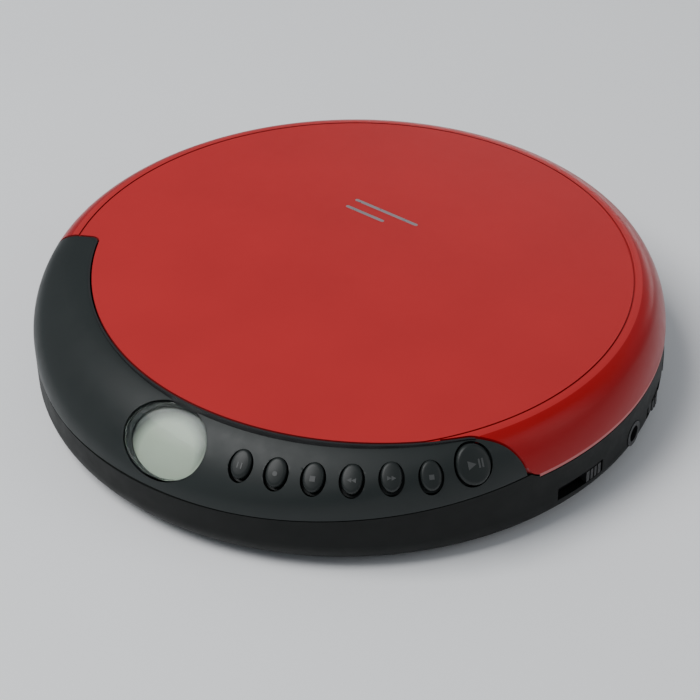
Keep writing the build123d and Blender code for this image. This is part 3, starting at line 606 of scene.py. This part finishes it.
def lid_piece(looks):
    floor = CREASE_Z - GROOVE_DEPTH
    wide, narrow = CREASE_R + GROOVE_HALF, CREASE_R - GROOVE_HALF
    outline = [p for p in dome_outline(0.0) if p[0] > wide + 0.01]
    outline += [(wide, CREASE_Z), (wide, floor), (narrow, floor), (narrow, CREASE_Z)]
    outline += [p for p in dome_outline(0.0) if p[0] < narrow - 0.1]
    outline += reversed(dome_outline(SKIN))
    lid = lathe("lid_skin", outline, 480)
    cut(lid, prism("crescent", crescent_outline(SEAM_HALF_GAP), 0.0, 40.0))
    cut(lid, corner_cutter())
    web = block("web", -BARREL_X[1], BARREL_X[1], 64.6, 69.2, LID_LOW, 18.0)
    join(web, rod_x("barrel", BARREL_R, -BARREL_X[1], BARREL_X[1], HINGE_Y, HINGE_Z))
    cut(web, block("gap", -BARREL_X[0], BARREL_X[0], 60.0, 72.0, 5.0, 18.5))
    cut(web, rod_x("bore", PIN_R + 0.05, -BARREL_X[1] + 0.4, BARREL_X[1] - 0.4, HINGE_Y, HINGE_Z))
    join(lid, web)
    join(lid, barb())
    smooth(lid)
    dress(lid, looks["lid_top"], "lid")
    for name in ("lid_rim_painted_shade", "lid_red", "lid_edge_highlight"):
        lid.data.materials.append(looks[name])
    for face in lid.data.polygons:
        face.material_index = lid_finish(face)
    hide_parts("lid_shell")


def panel_piece(looks, seats, window):
    panel = panel_shell()
    keep(panel, prism("crescent", crescent_outline(-SEAM_HALF_GAP), 0.0, 40.0))
    cut(panel, parting_cutter(PART_GAP))
    for name, seat in seats.items():
        well = KEY_WELLS[name == "key_play"]
        cut(panel, seat_prism("well", seat, ellipse(well), -6.0, 4.0))
        cut(panel, seat_prism("pocket", seat, ellipse((well[0] + 0.6, well[1] + 0.05)), -5.0, -SKIN))
    cut(panel, seat_prism("window", window, ellipse(DISPLAY_WELL), -8.0, 4.0))
    soften(panel, 0.12, 50.0)
    smooth(panel)
    dress(panel, looks["panel_plastic"], "body")
    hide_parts("control_panel")


def cap_height(u, v, half):
    """Height of a key's top: a shallow dome whose lower end stands a little proud."""
    out = (u / half[0]) ** 2 + (v / half[1]) ** 2
    return 0.62 - 0.10 * v / half[1] - 0.26 * out


def key_piece(name, seat, looks):
    """A domed cap that sits high in its well, over a flange that holds it behind the panel."""
    half = KEY_CAPS[name == "key_play"]
    rise = KEY_RISES[name == "key_play"]
    flange = (half[0] + 0.85, half[1])
    layers = [[seat.at(u, v, -KEY_FOOT) for u, v in ellipse(flange)]]
    layers.append([seat.at(u, v, -2.15) for u, v in ellipse(flange)])
    layers.append([seat.at(u, v + rise, -2.15) for u, v in ellipse(half)])
    for share in (1.0, 0.985, 0.955, 0.91, 0.85, 0.7, 0.5, 0.3, 0.12):
        drop = 0.42 * max(share - 0.85, 0.0) ** 2 / 0.0225
        outline = ellipse((half[0] * share, half[1] * share))
        layers.append([seat.at(u, v + rise, cap_height(u, v, half) - drop) for u, v in outline])
    cap = rings(name + "_cap", layers)
    smooth(cap, 40.0)
    dress(cap, looks["key_plastic"], name + "_body")
    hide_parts(name)


def mark_outlines(name):
    """Generic marks: play triangle, square, arrows, bars and dots."""
    right = [(-0.55, -0.6), (0.6, 0.0), (-0.55, 0.6)]
    left = [(-u, v) for u, v in reversed(right)]
    square = [(-0.5, -0.5), (0.5, -0.5), (0.5, 0.5), (-0.5, 0.5)]
    bar = [(-0.12, -0.6), (0.12, -0.6), (0.12, 0.6), (-0.12, 0.6)]
    marks = {
        "key_play": [moved(right, -0.5, 0.0, 1.5), moved(bar, 1.0, 0.0, 1.5), moved(bar, 1.7, 0.0, 1.5)],
        "key_1": [moved(bar, -0.4, 0.0), moved(bar, 0.4, 0.0)],
        "key_2": [ellipse((0.5, 0.5), 24)],
        "key_3": [moved(square, 0.0, 0.0, 1.1)],
        "key_4": [moved(left, -0.45, 0.0, 0.8), moved(left, 0.45, 0.0, 0.8)],
        "key_5": [moved(right, -0.45, 0.0, 0.8), moved(right, 0.45, 0.0, 0.8)],
        "key_6": [moved(square, 0.0, 0.0)],
    }
    return marks[name]


def moved(outline, du, dv, size=1.0):
    return [(du + u * size, dv + v * size) for u, v in outline]


def key_marks(name, seat, looks):
    half = KEY_CAPS[name == "key_play"]
    for index, outline in enumerate(mark_outlines(name)):
        top = min(cap_height(u, v, half) for u, v in outline)
        mark = seat_prism(f"{name}_mark_{index + 1}", seat, outline, top - 0.15, top + 0.09)
        dress(mark, looks["key_mark"], name + "_body")


def skin_drop(u, v):
    """How far the rolled skin falls away below the flat plane of the display's seat."""
    return math.sqrt(SLOPE_R ** 2 - v ** 2) - SLOPE_R - u ** 2 / (2 * DISPLAY_BEND)


def display_ring(window, share, depth):
    outline = ellipse((DISPLAY[0] * share, DISPLAY[1] * share), DISPLAY_STEPS)
    return [window.at(u, v, skin_drop(u, v) - depth) for u, v in outline]


def display_pieces(window, looks):
    """Clear lens flush with the skin, a grey frame under its edge and the display plate."""
    top = [(0.02, 0.0), (0.3, 0.0), (0.6, 0.0), (0.85, 0.0), (0.975, 0.02), (1.0, 0.15)]
    bottom = [(share, 1.1) for share, _ in top]
    profile = bottom + list(reversed(top))
    lens = rings("lens", [display_ring(window, share, depth) for share, depth in profile])
    smooth(lens)
    dress(lens, looks["clear_lens"], "body")
    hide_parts("lcd_lens")
    levels = [(1.0, 1.2), (0.985, 1.2), (0.935, 1.75), (0.93, 1.85), (0.93, 2.3), (1.0, 2.3)]
    points = [p for share, depth in levels for p in display_ring(window, share, depth)]
    faces = []
    for level in range(len(levels)):
        here = level * DISPLAY_STEPS
        there = (level + 1) % len(levels) * DISPLAY_STEPS
        for i in range(DISPLAY_STEPS):
            j = (i + 1) % DISPLAY_STEPS
            faces.append((here + i, here + j, there + j, there + i))
    bezel = new_piece("display_frame", points, faces)
    smooth(bezel, 25.0)
    dress(bezel, looks["bezel"], "body")
    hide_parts("lcd_bezel")
    profile = [(0.02, 3.2), (0.5, 3.2), (0.97, 3.2), (0.97, 2.4), (0.5, 2.4), (0.02, 2.4)]
    plate = rings("display_plate", [display_ring(window, share, depth) for share, depth in profile])
    smooth(plate)
    dress(plate, shaded_display(window), "body")
    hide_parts("lcd_module")


def shaded_display(window):
    """The display's grey-green, with a painted shadow darkening it under the upper left edge of its
    frame.
    """
    material = surface("display_face", (0.56, 0.63, 0.52), 0.94, (0.3, 0.4), (700.0, 0.01), patch=70.0)
    nodes = material.node_tree.nodes
    link = material.node_tree.links.new
    shader = nodes["Principled BSDF"]
    tint = shader.inputs["Base Color"].links[0].from_socket
    place = nodes.new("ShaderNodeTexCoord")
    # painted shadow: the face darkens with distance from a point low in the window
    away = nodes.new("ShaderNodeVectorMath")
    away.operation = "DISTANCE"
    away.inputs[1].default_value = Vector(window.at(0.5, -2.6, -2.4)) * MM
    link(place.outputs["Object"], away.inputs[0])
    edge = nodes.new("ShaderNodeMapRange")
    edge.inputs["From Min"].default_value = 6.5 * MM
    edge.inputs["From Max"].default_value = 9.0 * MM
    link(away.outputs["Value"], edge.inputs["Value"])
    shade = ramp(nodes, (1.0, 1.0, 1.0, 1.0), (0.16, 0.16, 0.18, 1.0), 0.0, 1.0)
    link(edge.outputs["Result"], shade.inputs["Fac"])
    mix = nodes.new("ShaderNodeMix")
    mix.data_type = "RGBA"
    mix.blend_type = "MULTIPLY"
    mix.inputs["Factor"].default_value = 1.0
    link(tint, mix.inputs["A"])
    link(shade.outputs["Color"], mix.inputs["B"])
    link(mix.outputs["Result"], shader.inputs["Base Color"])
    return material


def dome_skin(x, y):
    """Height of the lid's outer skin over a point of the plan."""
    r = math.hypot(x, y)
    if r < CREASE_R:
        return dome_top(x, y)
    if r < RIM_TIGHT_C[0] + RIM_TIGHT * math.cos(RIM_BEND):
        return RIM_TIGHT_C[1] + math.sqrt(RIM_TIGHT ** 2 - (r - CREASE_R) ** 2)
    return LID_LOW + math.sqrt(max(RIM_WIDE ** 2 - (r - RIM_WIDE_C[0]) ** 2, 0.0))


def panel_bead(looks):
    """Thin raised edge of the panel along the seam, level with the lid."""
    layers = []
    inner = crescent_outline(-SEAM_HALF_GAP)
    outer = crescent_outline(-SEAM_HALF_GAP - 0.4)
    for (x0, y0), (x1, y1) in zip(inner[1:-3], outer[1:-3]):
        if max(math.hypot(x0, y0), math.hypot(x1, y1)) < 68.0:
            top = dome_skin(x0, y0) - 0.06
            low = min(dome_skin(x1, y1), top) - 1.6
            layers.append([(x0, y0, low), (x1, y1, low), (x1, y1, top - 0.05), (x0, y0, top)])
    bead = rings("panel_bead", layers)
    smooth(bead, 40.0)
    dress(bead, looks["black_plastic"], "body")


def lid_print(looks):
    """Two thin neutral bars printed on the lid."""
    for index, (reach, half) in enumerate(((0.0, 9.0), (-3.4, 5.5))):
        outline = [(BAR_XY[0] + 2 * half * u, BAR_XY[1] + reach + v) for u, v in bar_outline(half)]
        layers = []
        for lift in (-0.15, 0.02):
            layers.append([(x, y, dome_top(x, y) + lift) for x, y in outline])
        bar = rings(f"lid_bar_{index + 1}", layers)
        dress(bar, looks["silver_print"], "lid")


def bar_outline(half):
    """A rounded bar one unit long, to be stretched to its length."""
    share = BAR_RADIUS / (2 * half)
    right = [(1 - share + share * math.cos(a), BAR_RADIUS * math.sin(a)) for a in half_turn(-90)]
    left = [(share + share * math.cos(a), BAR_RADIUS * math.sin(a)) for a in half_turn(90)]
    return right + left


def half_turn(start):
    return [math.radians(start + 180 * i / 12) for i in range(13)]


def dome_top(x, y):
    return CREASE_Z + DOME_RISE * (1 - (x * x + y * y) / CREASE_R ** 2)


def build():
    looks = make_materials()
    for sub in frame["record"]["subparts"]:
        node = frame["nodes"][sub["node"]]
        node.data.materials.clear()
        node.data.materials.append(looks[sub["material_slot"]])
    names = [f"key_{i}" for i in range(1, 7)] + ["key_play"]
    seats = {name: key_seat(name) for name in names}
    window = slope_seat(DISPLAY_XY[0], DISPLAY_XY[1])
    lid_piece(looks)
    panel_piece(looks, seats, window)
    panel_bead(looks)
    for name, seat in seats.items():
        key_piece(name, seat, looks)
        key_marks(name, seat, looks)
    display_pieces(window, looks)
    lid_print(looks)


def add_floor():
    floor = block("floor", -1500.0, 1500.0, -1500.0, 1500.0, -20.0, 0.0)
    look = surface("floor", (0.92, 0.93, 0.94), 0.98, (0.5, 0.6), (300.0, 0.01), patch=4.0)
    floor.data.materials.append(look)


add_camera()
add_studio()
add_floor()
build()
